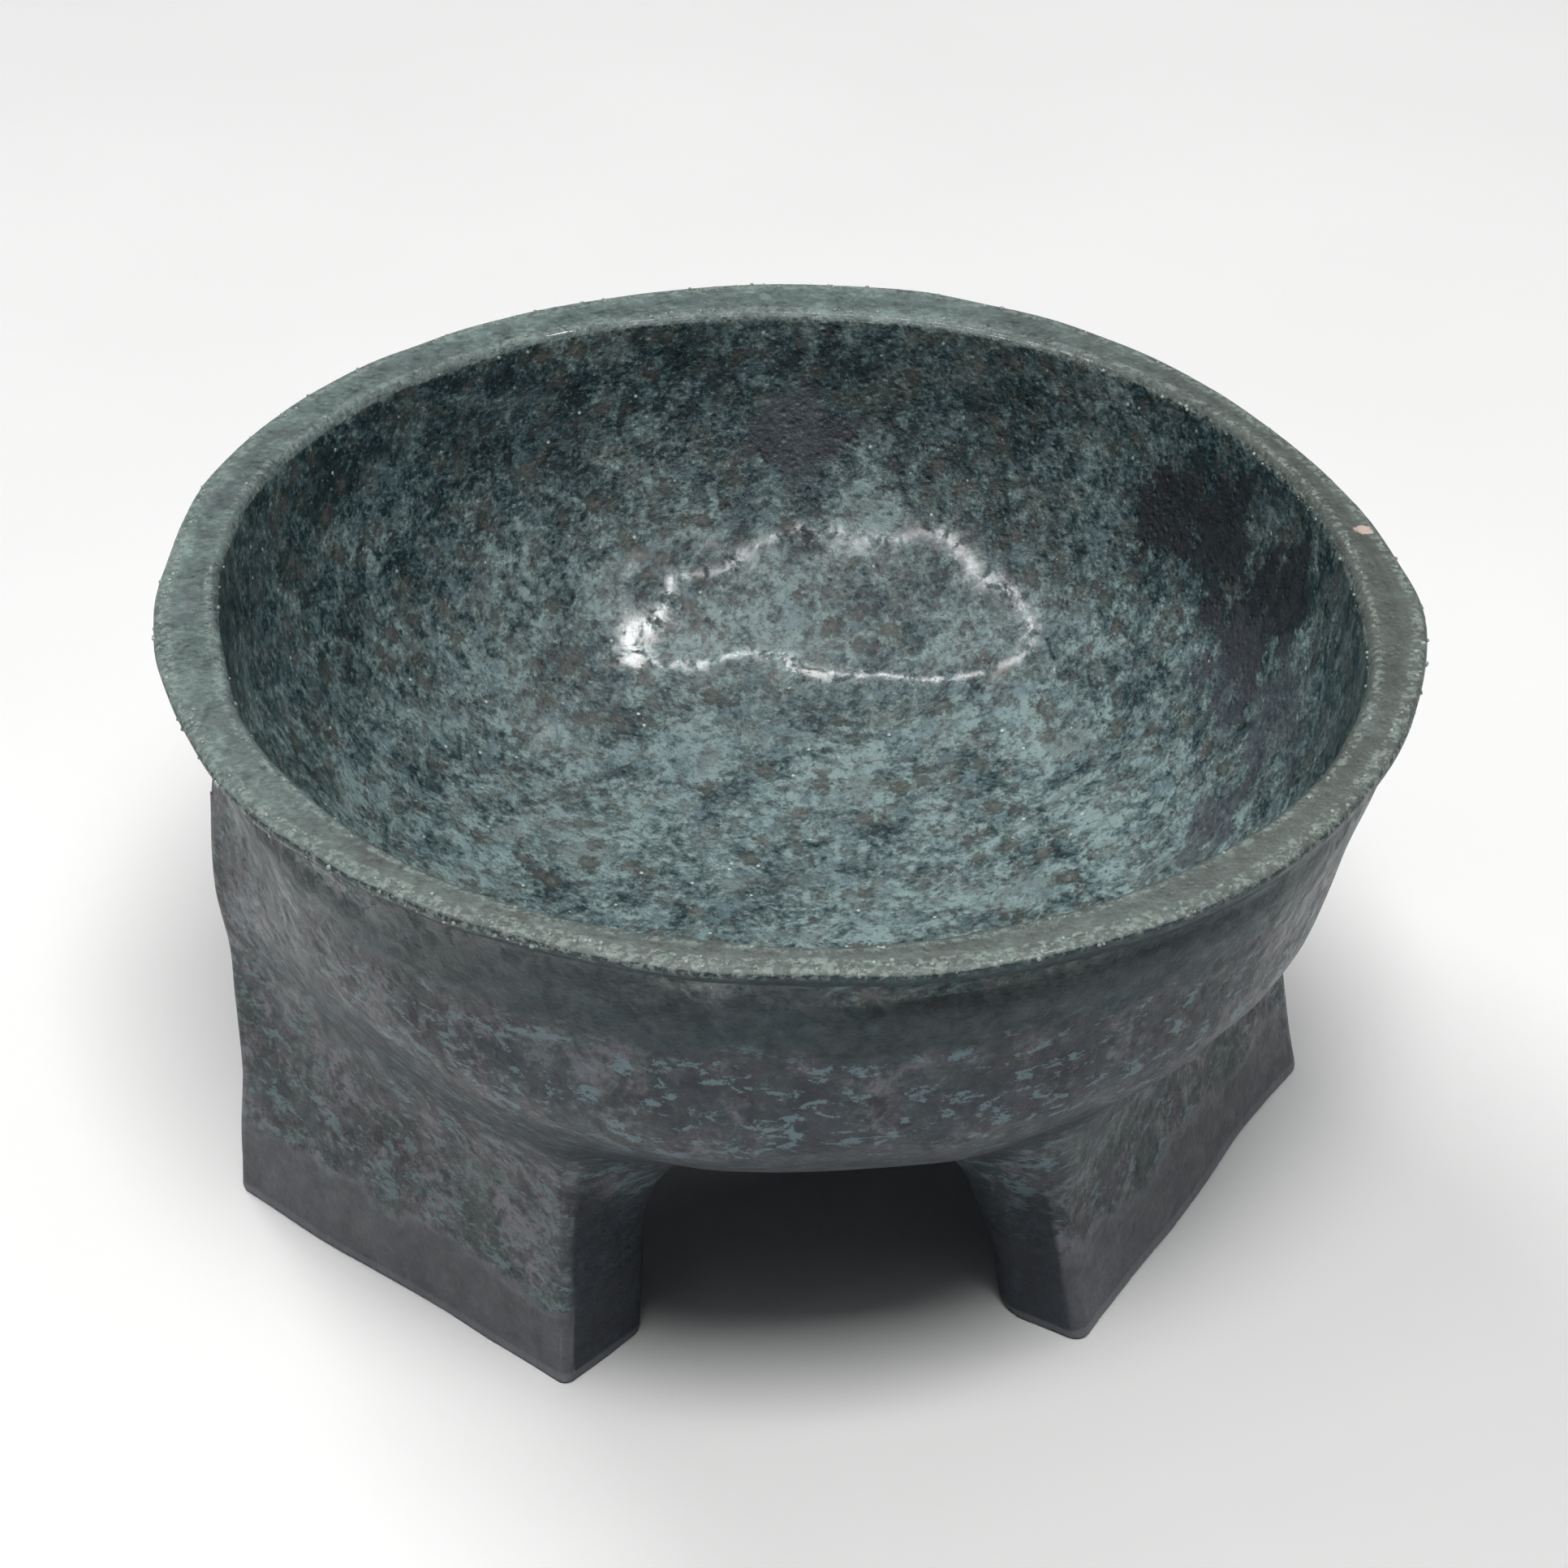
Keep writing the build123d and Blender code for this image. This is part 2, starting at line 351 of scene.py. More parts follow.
class Clay:
    """The molcajete's whole body as distance fields: below zero is clay."""

    # Where the rings are perfectly round, and how far above that they reach their full unevenness
    EVEN_HEIGHT = 19.0 * MM
    UNEVEN_RISE = 57.0 * MM

    # The groove under the lip and the pressed-in shoulder below it
    GROOVE_HEIGHT = 70.3 * MM
    GROOVE_REACH = 2.9 * MM
    GROOVE_SIDE = math.radians(230.0)
    GROOVE_SHARE = 0.7
    SHOULDER_FADE_IN = (44.0 * MM, 66.0 * MM)
    SHOULDER_FADE_OUT = (69.0 * MM, 73.0 * MM)
    SHOULDER_SHARE = 0.5
    BACKING_BLEND = 0.8 * MM

    # The fuller wall above the front arch
    FULL_SIDE = math.radians(262.0)
    FULL_HEIGHT = 47.0 * MM
    FULL_REACH = 9.5 * MM

    # Waves of the lip's top: count, height and start in radians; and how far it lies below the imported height
    LIP_WAVES = ((2.0, 0.35 * MM, 0.6), (3.0, 0.25 * MM, -1.0))
    LIP_DROP = 0.6 * MM

    # The joint's clay is spread less where the legs near the lip
    BLEND_FADE = (38.0 * MM, 60.0 * MM)
    BLEND_LOSS = 0.6
    LEG_TOP_ROUNDING = 4.0 * MM
    MIDDLE_LUMPS = 0.4

    FOOT_ROUNDING = 0.8 * MM
    JOINT_ALLOWANCE = 0.9 * MM

    def __init__(self, shape):
        self.shape = shape
        self.height = PACKED_HIGH.z
        self.belly_outline = Outline(BELLY_OUTLINE)
        self.hollow_outline = Outline(HOLLOW_OUTLINE)
        self.broad = Lumps(21.0 * MM, 11)
        self.middle = Lumps(9.0 * MM, 12)

    def ring_radius(self, x, y, z, oval, waves):
        """Radius of the even, round bowl that each point would have."""
        angle = np.arctan2(y, x)
        share = np.clip((z - self.EVEN_HEIGHT) / self.UNEVEN_RISE, 0.0, 1.0)
        unevenness = sum(size * np.cos(count * (angle - start)) for count, size, start in waves)
        return (np.hypot(x, y) - share * unevenness) / (1.0 + oval * np.cos(2.0 * (angle - OVAL_DIRECTION)))

    def belly(self, x, y, z):
        """Outside of the bowl, as if it were solid."""
        front = (0.5 + 0.5 * np.cos(np.arctan2(y, x) - self.FULL_SIDE)) ** 2
        band = np.exp(-((z - self.FULL_HEIGHT) / self.FULL_REACH) ** 2)
        radius = self.ring_radius(x, y, z, OUTER_OVAL, OUTER_WAVES)
        return self.belly_outline.distance(radius, z) - self.shape.front_fullness * front * band

    def undercut(self, x, y, z):
        """How far the clay is pressed in under the lip: deepest front left, nothing back right."""
        side = (0.5 + 0.5 * np.cos(np.arctan2(y, x) - self.GROOVE_SIDE)) ** 2
        groove = np.exp(-((z - self.GROOVE_HEIGHT) / self.GROOVE_REACH) ** 2)
        shoulder = smooth_step(z, *self.SHOULDER_FADE_IN) * (1.0 - smooth_step(z, *self.SHOULDER_FADE_OUT))
        share = self.GROOVE_SHARE * groove + self.SHOULDER_SHARE * shoulder
        return self.shape.groove_depth * side * share

    def hollow(self, x, y, z):
        """The space inside the bowl."""
        return self.hollow_outline.distance(self.ring_radius(x, y, z, INNER_OVAL, INNER_WAVES), z)

    def slab(self, leg, x, y, z):
        """One leg before it is cut to fit the belly."""
        facing = math.radians(leg["facing"])
        away = (x - leg["at"][0] * MM) * math.cos(facing) + (y - leg["at"][1] * MM) * math.sin(facing)
        along = (y - leg["at"][1] * MM) * math.cos(facing) - (x - leg["at"][0] * MM) * math.sin(facing)
        rise = np.clip(z / self.shape.leg_top, 0.0, 1.0)
        away = away + leg["hollow"] * MM * np.sin(np.pi * rise) - leg["flare"] * MM * rise**4
        half_depth = self.shape.leg_thickness / 2.0
        corner = np.where(away > -half_depth, leg["outer"], leg["inner"]) * MM
        over = np.abs(away + half_depth) - half_depth + corner
        beyond = np.abs(along) - leg["length"] * MM / 2.0 + corner
        plan = np.hypot(np.maximum(over, 0.0), np.maximum(beyond, 0.0)) - corner
        plan = plan + np.minimum(np.maximum(over, beyond), 0.0)
        return blend_cut(plan, z - self.shape.leg_top, self.LEG_TOP_ROUNDING)

    def lip_top(self, x, y, z):
        """Above the slightly uneven top of the lip."""
        angle = np.arctan2(y, x)
        waves = sum(size * np.cos(count * angle - start) for count, size, start in self.LIP_WAVES)
        return z - self.height - (waves - self.LIP_DROP)

    def body(self, x, y, z):
        """The whole clay body with its unevenness."""
        outside = self.belly(x, y, z)
        blend = self.shape.joint_blend * (1.0 - self.BLEND_LOSS * smooth_step(z, *self.BLEND_FADE))
        for leg in LEGS.values():
            outside = blend_union(outside, self.slab(leg, x, y, z), blend)
        relief = self.broad.at(x, y, z) + self.MIDDLE_LUMPS * self.middle.at(x, y, z)
        outside = outside + self.shape.lumpiness * relief
        inside = self.hollow(x, y, z) - self.shape.lumpiness * relief
        backing = np.maximum(outside, inside - self.shape.thinnest_wall)
        outside = blend_union(outside + self.undercut(x, y, z), backing, self.BACKING_BLEND)
        wall = blend_cut(outside, -inside, self.shape.lip_rounding)
        wall = blend_cut(wall, self.lip_top(x, y, z), self.shape.lip_rounding)
        return blend_cut(wall, -z, self.FOOT_ROUNDING)

    def joint_belly(self, x, y, z):
        """Where the clay belongs to the bowl."""
        return self.belly(x, y, z) - self.JOINT_ALLOWANCE

    def joint_slab(self, leg, x, y, z):
        """Where the clay outside the bowl belongs to a leg."""
        return self.slab(leg, x, y, z) - self.JOINT_ALLOWANCE


def field_values(field, axes, cell):
    """Field at every point of a grid: a coarse look first, then each point that lies near the surface."""
    block = 3
    middles = [axis[::block] + (block - 1) / 2 * cell for axis in axes]
    coarse = field(*np.meshgrid(*middles, indexing="ij"))
    for axis in range(3):
        coarse = coarse.repeat(block, axis=axis)
    values = coarse[tuple(slice(0, len(axis)) for axis in axes)].copy()
    near = np.nonzero(np.abs(values) < 4.0 * cell)
    values[near] = field(*(axis[places] for axis, places in zip(axes, near)))
    return values


def field_surface(field, low, high, cell):
    """Closed mesh, as points and faces, where a field crosses zero inside a box."""
    axes = [np.arange(start, end + cell, cell) for start, end in zip(low, high)]
    values = field_values(field, axes, cell).astype(np.float32)
    for axis in range(3):
        ends = [slice(None)] * 3
        for end in (0, -1):
            ends[axis] = end
            values[tuple(ends)] = np.maximum(values[tuple(ends)], cell)
    grid = openvdb.FloatGrid(1.0)
    grid.copyFromArray(values)
    points, triangles, quads = grid.convertToPolygons(isovalue=0.0, adaptivity=0.0)
    points = points * cell + np.array([axis[0] for axis in axes])
    return points, triangles.tolist() + quads.tolist()


def slope(field, points, step):
    """Values and slopes of a field at some points."""
    x, y, z = points.T
    value = field(x, y, z)
    rise = np.stack([field(x + step, y, z), field(x, y + step, z), field(x, y, z + step)], axis=1)
    return value, (rise - value[:, None]) / step


def mesh_object(name, points, faces):
    """New object in the scene, made of points and faces."""
    mesh = bpy.data.meshes.new(name)
    mesh.from_pydata(points, [], faces)
    mesh.update()
    thing = bpy.data.objects.new(name, mesh)
    bpy.context.collection.objects.link(thing)
    return thing


def clay_object(clay, name, low, high, cell):
    """Part of the body inside a box, with its points drawn onto the true surface."""
    points, faces = field_surface(clay.body, low, high, cell)
    value, rise = slope(clay.body, points, 0.1 * cell)
    steepness = np.maximum((rise**2).sum(axis=1), 0.25)
    step = np.clip(value / steepness, -0.4 * cell, 0.4 * cell)
    on_skin = np.all((points > np.array(low) + 1.5 * cell) & (points < np.array(high) - 1.5 * cell), axis=1)
    points = points - rise * (step * on_skin)[:, None]
    return mesh_object(name, points, faces)


def cut(thing, cutter, operation):
    """Applies one boolean step between two closed meshes."""
    modifier = thing.modifiers.new("joint", "BOOLEAN")
    modifier.solver = "MANIFOLD"
    modifier.operation = operation
    modifier.object = cutter
    bpy.context.view_layer.update()
    evaluated = thing.evaluated_get(bpy.context.evaluated_depsgraph_get())
    mesh = bpy.data.meshes.new_from_object(evaluated)
    thing.modifiers.clear()
    old = thing.data
    thing.data = mesh
    bpy.data.meshes.remove(old)
    if not mesh.polygons:
        raise RuntimeError(f"nothing is left of {thing.name} after its joint is cut")


def discard(*things):
    """Deletes helper objects."""
    for thing in things:
        mesh = thing.data
        bpy.data.objects.remove(thing)
        bpy.data.meshes.remove(mesh)


def keep_largest(thing):
    """Deletes every loose crumb of mesh but the largest."""
    bm = bmesh.new()
    bm.from_mesh(thing.data)
    bm.verts.ensure_lookup_table()
    unseen = set(bm.verts)
    islands = []
    while unseen:
        stack = [unseen.pop()]
        island = list(stack)
        while stack:
            for edge in stack.pop().link_edges:
                for vert in edge.verts:
                    if vert in unseen:
                        unseen.remove(vert)
                        stack.append(vert)
                        island.append(vert)
        islands.append(island)
    islands.sort(key=len)
    for island in islands[:-1]:
        bmesh.ops.delete(bm, geom=island, context="VERTS")
    bm.to_mesh(thing.data)
    bm.free()


def box_object(name, low, high):
    """Closed box, for cutting."""
    bm = bmesh.new()
    bmesh.ops.create_cube(bm, size=1.0)
    for vert in bm.verts:
        vert.co = Vector([lo + (hi - lo) * (part + 0.5) for lo, hi, part in zip(low, high, vert.co)])
    mesh = bpy.data.meshes.new(name)
    bm.to_mesh(mesh)
    bm.free()
    thing = bpy.data.objects.new(name, mesh)
    bpy.context.collection.objects.link(thing)
    return thing


def read(items, key, width=1, kind=float):
    """One property of every item, as an array."""
    values = np.empty(len(items) * width, kind)
    items.foreach_get(key, values)
    return values.reshape(-1, width) if width > 1 else values


def guides_at(clay, points, value, normals):
    """Where each point lies on the body: sheltered, inside the hollow, level, on an edge or in a crease."""
    out = clay.body(*(points + normals * BEND_REACH).T)
    within = clay.body(*(points - normals * BEND_REACH).T)
    x, y, z = points.T
    around = np.abs(normals[:, 1] * x - normals[:, 0] * y) / np.maximum(np.hypot(x, y), MM)
    ends = smooth_step(around, 0.65, 0.92) * (1.0 - smooth_step(z, 26.0 * MM, 44.0 * MM))
    return {
        # Sheltered marks faces that point down and the legs' low end faces, where the glaze paints shade
        "sheltered": np.maximum(ends, smooth_step(-normals[:, 2], 0.30, 0.85)),
        "inside": smooth_step(-clay.belly(*points.T) - clay.hollow(*points.T), -MM, MM),
        "level": smooth_step(normals[:, 2], 0.0, 0.9),
        "bend": 0.5 + (out + within - 2.0 * value) / BEND_REACH,
    }


def body_normals(clay, mesh, normals):
    """The body's own normal at each corner on the skin, and the face's at each corner on a joint."""
    centres = read(mesh.polygons, "center", 3)
    skin = np.abs(clay.body(*centres.T)) < SKIN_DEPTH
    totals = read(mesh.polygons, "loop_total", kind=int)
    owner = np.repeat(np.arange(len(totals)), totals)
    corners = read(mesh.loops, "vertex_index", kind=int)
    face_normals = read(mesh.polygons, "normal", 3)
    return np.where(skin[owner][:, None], normals[corners], face_normals[owner])


def dress(clay, thing, material):
    """Gives a piece the body's own normals, the glaze's guides and its material."""
    mesh = thing.data
    points = read(mesh.vertices, "co", 3)
    value, rise = slope(clay.body, points, SLOPE_STEP)
    normals = rise / np.maximum(np.linalg.norm(rise, axis=1), 1e-9)[:, None]
    for key, values in guides_at(clay, points, value, normals).items():
        layer = mesh.attributes.new(key, "FLOAT", "POINT")
        layer.data.foreach_set("value", values.astype(np.float32))
    corner_normals = body_normals(clay, mesh, normals)
    mesh.shade_smooth()
    mesh.normals_split_custom_set(corner_normals.tolist())
    mesh.materials.clear()
    mesh.materials.append(material)


def settle(thing, node):
    """Hands a finished piece to the frame."""
    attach(thing, "root")
    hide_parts(node)


# ---- glaze


class Shade:
    """A socket that adds shader nodes when it is used in sums."""

    def __init__(self, tree, socket):
        self.tree = tree
        self.socket = socket

    def node(self, kind, settings=None, inputs=None, output=0):
        """Adds any node: its settings are set first, then the values or links of its sockets."""
        made = self.tree.nodes.new(kind)
        for key, value in (settings or {}).items():
            if key == "ramp":
                fill_ramp(made.color_ramp, value)
            else:
                setattr(made, key, value)
        for key, value in (inputs or {}).items():
            plug(self.tree, value, made.inputs[key])
        return Shade(self.tree, made.outputs[output]) if made.outputs else None

    def maths(self, operation, *values):
        """Adds a Math node."""
        return self.node("ShaderNodeMath", {"operation": operation}, dict(enumerate(values)))

    def __add__(self, other):
        return self.maths("ADD", self, other)

    def __sub__(self, other):
        return self.maths("SUBTRACT", self, other)

    def __rsub__(self, other):
        return self.maths("SUBTRACT", other, self)

    def __mul__(self, other):
        return self.maths("MULTIPLY", self, other)

    __radd__ = __add__
    __rmul__ = __mul__

    def clamp(self):
        """Keeps a value between 0 and 1."""
        return self.node("ShaderNodeClamp", None, {"Value": self})

    def step(self, low, high):
        """0 below low, 1 above high, smooth between."""
        return self.node("ShaderNodeMapRange", {"interpolation_type": "SMOOTHSTEP"},
                         {"Value": self, "From Min": low, "From Max": high})

    def mix(self, first, second):
        """Colour that goes from first to second as this value goes from 0 to 1."""
        return self.node("ShaderNodeMix", {"data_type": "RGBA"}, {0: self, 6: first, 7: second}, 2)


def fill_ramp(ramp, stops):
    """Sets the stops of a colour ramp."""
    while len(ramp.elements) > 1:
        ramp.elements.remove(ramp.elements[0])
    ramp.elements[0].position, ramp.elements[0].color = stops[0]
    for position, colour in stops[1:]:
        ramp.elements.new(position).color = colour


def plug(tree, value, socket):
    """Links a Shade to a socket, or sets the socket's own value."""
    if isinstance(value, Shade):
        tree.links.new(value.socket, socket)
    elif socket.type == "RGBA" and len(value) == 3:
        socket.default_value = (*value, 1.0)
    else:
        socket.default_value = value


class Glaze:
    """Builds the molten glaze: one recipe over the whole body, so that it runs on across the joints."""

    def __init__(self, name, colours):
        self.material = bpy.data.materials.new(name)
        self.material.use_nodes = True
        self.tree = self.material.node_tree
        self.tree.nodes.clear()
        self.colours = colours
        self.start = Shade(self.tree, None)
        place = self.start.node("ShaderNodeTexCoord", None, None, 3)
        scaled = {"operation": "SCALE"}
        self.place = self.start.node("ShaderNodeVectorMath", scaled, {0: place, "Scale": 1.0 / MM})
        split = self.start.node("ShaderNodeSeparateXYZ", None, {0: self.place})
        self.x, self.y, self.z = (Shade(self.tree, output) for output in split.socket.node.outputs)

    def guide(self, name):
        """One of the guides that the mesh carries."""
        return self.start.node("ShaderNodeAttribute", {"attribute_name": name}, None, 2)

    def stretched(self, x, y, z):
        """Place with its axes scaled, for streaks."""
        return self.start.node("ShaderNodeVectorMath", {"operation": "MULTIPLY"}, {
            0: self.place, 1: (x, y, z)})

    def clouds(self, size, detail=3.0, roughness=0.55, place=None, twist=0.0):
        """Soft noise with features of a given size in millimetres."""
        return self.start.node("ShaderNodeTexNoise", None, {
            "Vector": place or self.place, "Scale": 1.0 / size, "Detail": detail, "Roughness": roughness,
            "Distortion": twist})

    def spots(self, size):
        """Distance to scattered points a given size apart."""
        return self.start.node("ShaderNodeTexVoronoi", None, {"Vector": self.place, "Scale": 1.0 / size})

    def near(self, centre, reach):
        """1 near a place, given in millimetres, and 0 beyond its reach, with a ragged edge."""
        ragged = (self.clouds(7.0, 5.0, 0.7) - 0.5) * (4.5 * reach)
        gap = self.start.node("ShaderNodeVectorMath", {"operation": "DISTANCE"}, {
            0: self.place, 1: centre}, 1)
        return 1.0 - (gap + ragged).step(reach * 0.75, reach)


def tint(colour, share):
    """A colour made lighter or darker."""
    return [part * share for part in colour]


def shades(colour, *shares):
    """Several tints of one colour."""
    return [tint(colour, share) for share in shares]


def mottled(glaze, size, lean, spread, colours):
    """Broken, grainy colour: fine, middle and broad clouds together choose among colours, dark to light."""
    tone = (glaze.clouds(0.5 * size, 5.0, 0.75) * 0.36 + glaze.clouds(1.6 * size, 5.0, 0.70, twist=0.9) * 0.40
            + glaze.clouds(5.0 * size, 3.0, 0.6) * 0.24 + lean)
    last = len(colours) - 1
    stops = [(0.5 + spread * (number / last - 0.5), (*colour, 1.0)) for number, colour in enumerate(colours)]
    return tone.node("ShaderNodeValToRGB", {"ramp": stops}, {"Fac": tone})


def inside_colour(glaze):
    """Mottled glaze of the hollow: deep teal on the wall, paler and greyer towards the bottom."""
    colours = glaze.colours
    # Darker towards the top of the wall, paler and greyer towards the bottom
    height = (glaze.z + (glaze.clouds(16.0) - 0.5) * 18.0).step(36.0, 68.0)
    middle = [(dark + light) / 2.0 for dark, light in zip(colours.deep_teal, colours.grey_teal)]
    ground = mottled(glaze, 2.2, 0.030 - 0.065 * height, 0.150, (
        tint(colours.deep_teal, 0.30), tint(colours.deep_teal, 0.8), tint(middle, 0.9), colours.grey_teal,
        tint(colours.grey_teal, 1.8)))
    blue = glaze.clouds(4.2, 5.0, 0.72, twist=0.4).step(0.53, 0.60) * (1.0 - 0.55 * height)
    ground = (blue * 0.50).mix(ground, colours.pale_blue)
    olive = glaze.clouds(5.5, 5.0, 0.72, twist=0.4).step(0.52, 0.58)
    ground = (olive * 0.42).mix(ground, tint(colours.brown, 0.9))
    rough_edge = (glaze.clouds(1.1, 4.0, 0.72) - 0.5) * 3.4
    gap = glaze.spots(3.9) * 3.9 + rough_edge
    busy = glaze.clouds(9.0, 3.0, 0.6).step(0.40, 0.56)
    ground = ((1.0 - gap.step(1.1, 1.7)) * busy * 0.70).mix(ground, tint(colours.brown, 0.62))
    ground = ((1.0 - gap.step(0.3, 0.9)) * busy * 0.60).mix(ground, tint(colours.brown, 1.5))
    grain = glaze.clouds(0.55, 3.0, 0.65)
    ground = (grain.step(0.58, 0.72) * 0.50).mix(ground, tint(colours.grey_teal, 1.7))
    ground = ((1.0 - grain.step(0.30, 0.42)) * 0.50).mix(ground, tint(colours.deep_teal, 0.4))
    # Painted glints: tiny bright specks that stand in for highlights on the crust
    glints = (1.0 - glaze.spots(2.3).step(0.07, 0.13)) * glaze.clouds(3.3).step(0.54, 0.60)
    ground = (glints * 0.85).mix(ground, tint(colours.crumb_pale, 2.2))
    for centre, reach in DARK_PATCHES:
        ground = (glaze.near(centre, reach) * 0.94).mix(ground, tint(colours.navy_and_painted_shade, 0.35))
    for centre, reach in PURPLE_PATCHES:
        ground = (glaze.near(centre, reach) * 0.62).mix(ground, colours.purple)
    return ground


def lip_colour(glaze):
    """Grey-green glaze of the lip, with fine grain, turning brown and darker towards the front and the right:
    partly brown glaze, partly painted shade.
    """
    colours = glaze.colours
    ground = mottled(glaze, 1.5, 0.005, 0.19, shades(colours.lip_green, 0.42, 0.75, 1.0, 1.25, 1.8))
    shade = glaze.clouds(6.0, 4.0, 0.65).step(0.48, 0.66)
    ground = (shade * 0.40).mix(ground, tint(colours.slip_grey, 0.9))
    # Towards the front and the right the lip turns brown and darker: partly brown glaze, partly painted shade
    brown_and_painted_shade = (glaze.x.step(25.0, 70.0) + (0.0 - glaze.y).step(10.0, 70.0) * 0.8).clamp()
    return (brown_and_painted_shade * 0.64).mix(ground, tint(colours.brown, 1.15))


def outside_colour(glaze):
    """Purple-grey slip with teal flecks, smooth at the feet, greener under the lip; painted shade darkens the
    front, above the arches, the undersides, a groove line and under the lip, and painted highlights lighten
    the shoulder and the right leg.
    """
    colours = glaze.colours
    ground = mottled(glaze, 2.6, 0.0, 0.095, shades(colours.slip_grey, 0.30, 0.65, 1.0, 1.4, 2.1))
    teal = glaze.clouds(8.0, 4.0, 0.66, twist=0.3).step(0.47, 0.56)
    ground = (teal * 0.85).mix(ground, mottled(glaze, 1.9, 0.0, 0.11, (
        tint(colours.deep_teal, 0.6), tint(colours.grey_teal, 0.34), tint(colours.grey_teal, 0.95))))
    # Painted shade: the front of the wall below the lip is darkened towards navy, and the random navy blotches
    # lean towards the front
    front = (0.0 - glaze.y).step(35.0, 70.0) * (1.0 - glaze.z.step(60.0, 72.0))
    shade = (glaze.clouds(6.0, 4.0, 0.68) + 0.06 * front).step(0.49, 0.58)
    ground = (shade * 0.66).mix(ground, tint(colours.navy_and_painted_shade, 0.8))
    ground = (front * 0.35).mix(ground, tint(colours.navy_and_painted_shade, 0.8))
    # Painted shade: the low front wall above the arches is darkened towards navy
    ragged_height = glaze.z + (glaze.clouds(5.0, 4.0) - 0.5) * 14.0
    arch = (0.0 - glaze.y).step(50.0, 60.0) * (1.0 - ragged_height.step(40.0, 48.0))
    ground = (arch * 0.60).mix(ground, tint(colours.navy_and_painted_shade, 0.5))
    streaks = glaze.clouds(3.0, 5.0, 0.75, glaze.stretched(0.8, 0.8, 1.6), 0.3).step(0.555, 0.585)
    ground = (streaks * 0.75).mix(ground, tint(colours.pale_blue, 0.95))
    low = glaze.z + (glaze.clouds(8.0, 3.0) - 0.5) * 10.0
    band = 1.0 - low.step(9.6, 10.4)
    smooth = mottled(glaze, 1.4, 0.0, 0.22, (
        tint(colours.slip_grey, 0.70), (*tint(colours.slip_grey[:2], 0.98), colours.slip_grey[2]),
        tint(colours.slip_grey, 1.3)))
    ground = (band * 0.90).mix(ground, smooth)
    rim = low.step(9.2, 10.0) * (1.0 - low.step(10.4, 11.4))
    ground = (rim * 0.55).mix(ground, tint(colours.slip_grey, 1.7))
    # Painted shade: dark navy on faces that point down and on the legs' low end faces, under the bowl
    shadow = mottled(glaze, 1.6, 0.0, 0.20, shades(colours.navy_and_painted_shade, 0.35, 0.7, 1.2))
    ground = (glaze.guide("sheltered") * 0.85).mix(ground, shadow)
    # Painted shade: a thin navy line low on the front stands in for the shade of a groove
    crease = glaze.z + (glaze.clouds(12.0, 3.0) - 0.5) * 12.0
    crease = crease.step(35.0, 36.5) * (1.0 - crease.step(37.0, 39.0)) * (0.0 - glaze.y).step(48.0, 54.0)
    ground = (crease * 0.8).mix(ground, tint(colours.navy_and_painted_shade, 0.4))
    # Painted highlights: pale patches for the sheen on the left shoulder and along the right leg's crease
    for centre, reach in PAINTED_HIGHLIGHT_PATCHES:
        ground = (glaze.near(centre, reach) * 0.55).mix(ground, tint(colours.slip_grey, 2.9))
    # Under the lip: teal glaze, made darker as painted shade below the lip's overhang
    under_lip_teal_and_shade = (glaze.z + (glaze.clouds(5.0, 4.0, 0.6) - 0.5) * 9.0).step(59.5, 62.5)
    return (under_lip_teal_and_shade * 0.93).mix(ground, mottled(
        glaze, 1.4, 0.0, 0.20, shades(colours.deep_teal, 0.25, 0.6, 1.1)))


def glaze_material(name, settings):
    """The whole glaze: colour, satin roughness and the fine crust of crystals."""
    glaze = Glaze(name, settings)
    inside = glaze.guide("inside")
    bend = glaze.guide("bend")
    grain = glaze.clouds(0.9, 4.0, 0.7)
    ragged = (glaze.clouds(1.8, 4.0, 0.7) - 0.5) * 0.8
    colour = (inside + ragged * 0.3).step(0.35, 0.65).mix(outside_colour(glaze), inside_colour(glaze))
    top = (glaze.guide("level") + inside * 0.22 + ragged * 0.6).step(0.44, 0.60) * glaze.z.step(72.4, 73.6)
    colour = top.mix(colour, lip_colour(glaze))
    crest = (bend + ragged * 0.2).step(0.58, 0.70) * glaze.z.step(73.6, 74.8) * grain.step(0.46, 0.60)
    colour = (crest * 0.75).mix(colour, settings.crumb_pale)
    centre, reach = LIP_CHIP
    colour = (glaze.near(centre, reach) * 0.9).mix(colour, BARE_CLAY)
    worn = (bend + ragged * 0.12).step(0.62, 0.80) * (1.0 - glaze.z.step(8.0, 20.0)) * (1.0 - inside)
    colour = (worn * 0.55).mix(colour, tint(settings.slip_grey, 2.2))
    crust = grain * (0.45 + 0.55 * inside) + glaze.clouds(2.2, 5.0, 0.7) * 1.1
    pits = glaze.spots(1.3).step(0.05, 0.40) * (0.15 + 0.35 * inside)
    bump = glaze.start.node("ShaderNodeBump", None, {
        "Strength": 1.0, "Distance": 0.34 * MM, "Height": crust + pits})
    sheltered = glaze.guide("sheltered")
    gloss = glaze.clouds(2.6, 5.0, 0.75, twist=0.6).step(0.42, 0.58)
    gloss = gloss * (0.25 + 0.75 * inside) * (1.0 - sheltered)
    roughness = settings.roughness + (glaze.clouds(1.6, 4.0, 0.7) - 0.5) * 0.5
    roughness = roughness + (1.0 - inside) * 0.08 + sheltered * 0.2
    shader = glaze.start.node("ShaderNodeBsdfPrincipled", None, {
        "Base Color": colour, "Roughness": roughness.clamp(), "Normal": bump, "IOR": 1.38,
        "Coat Weight": gloss, "Coat Roughness": 0.13})
    glaze.start.node("ShaderNodeOutputMaterial", None, {"Surface": shader})
    return glaze.material


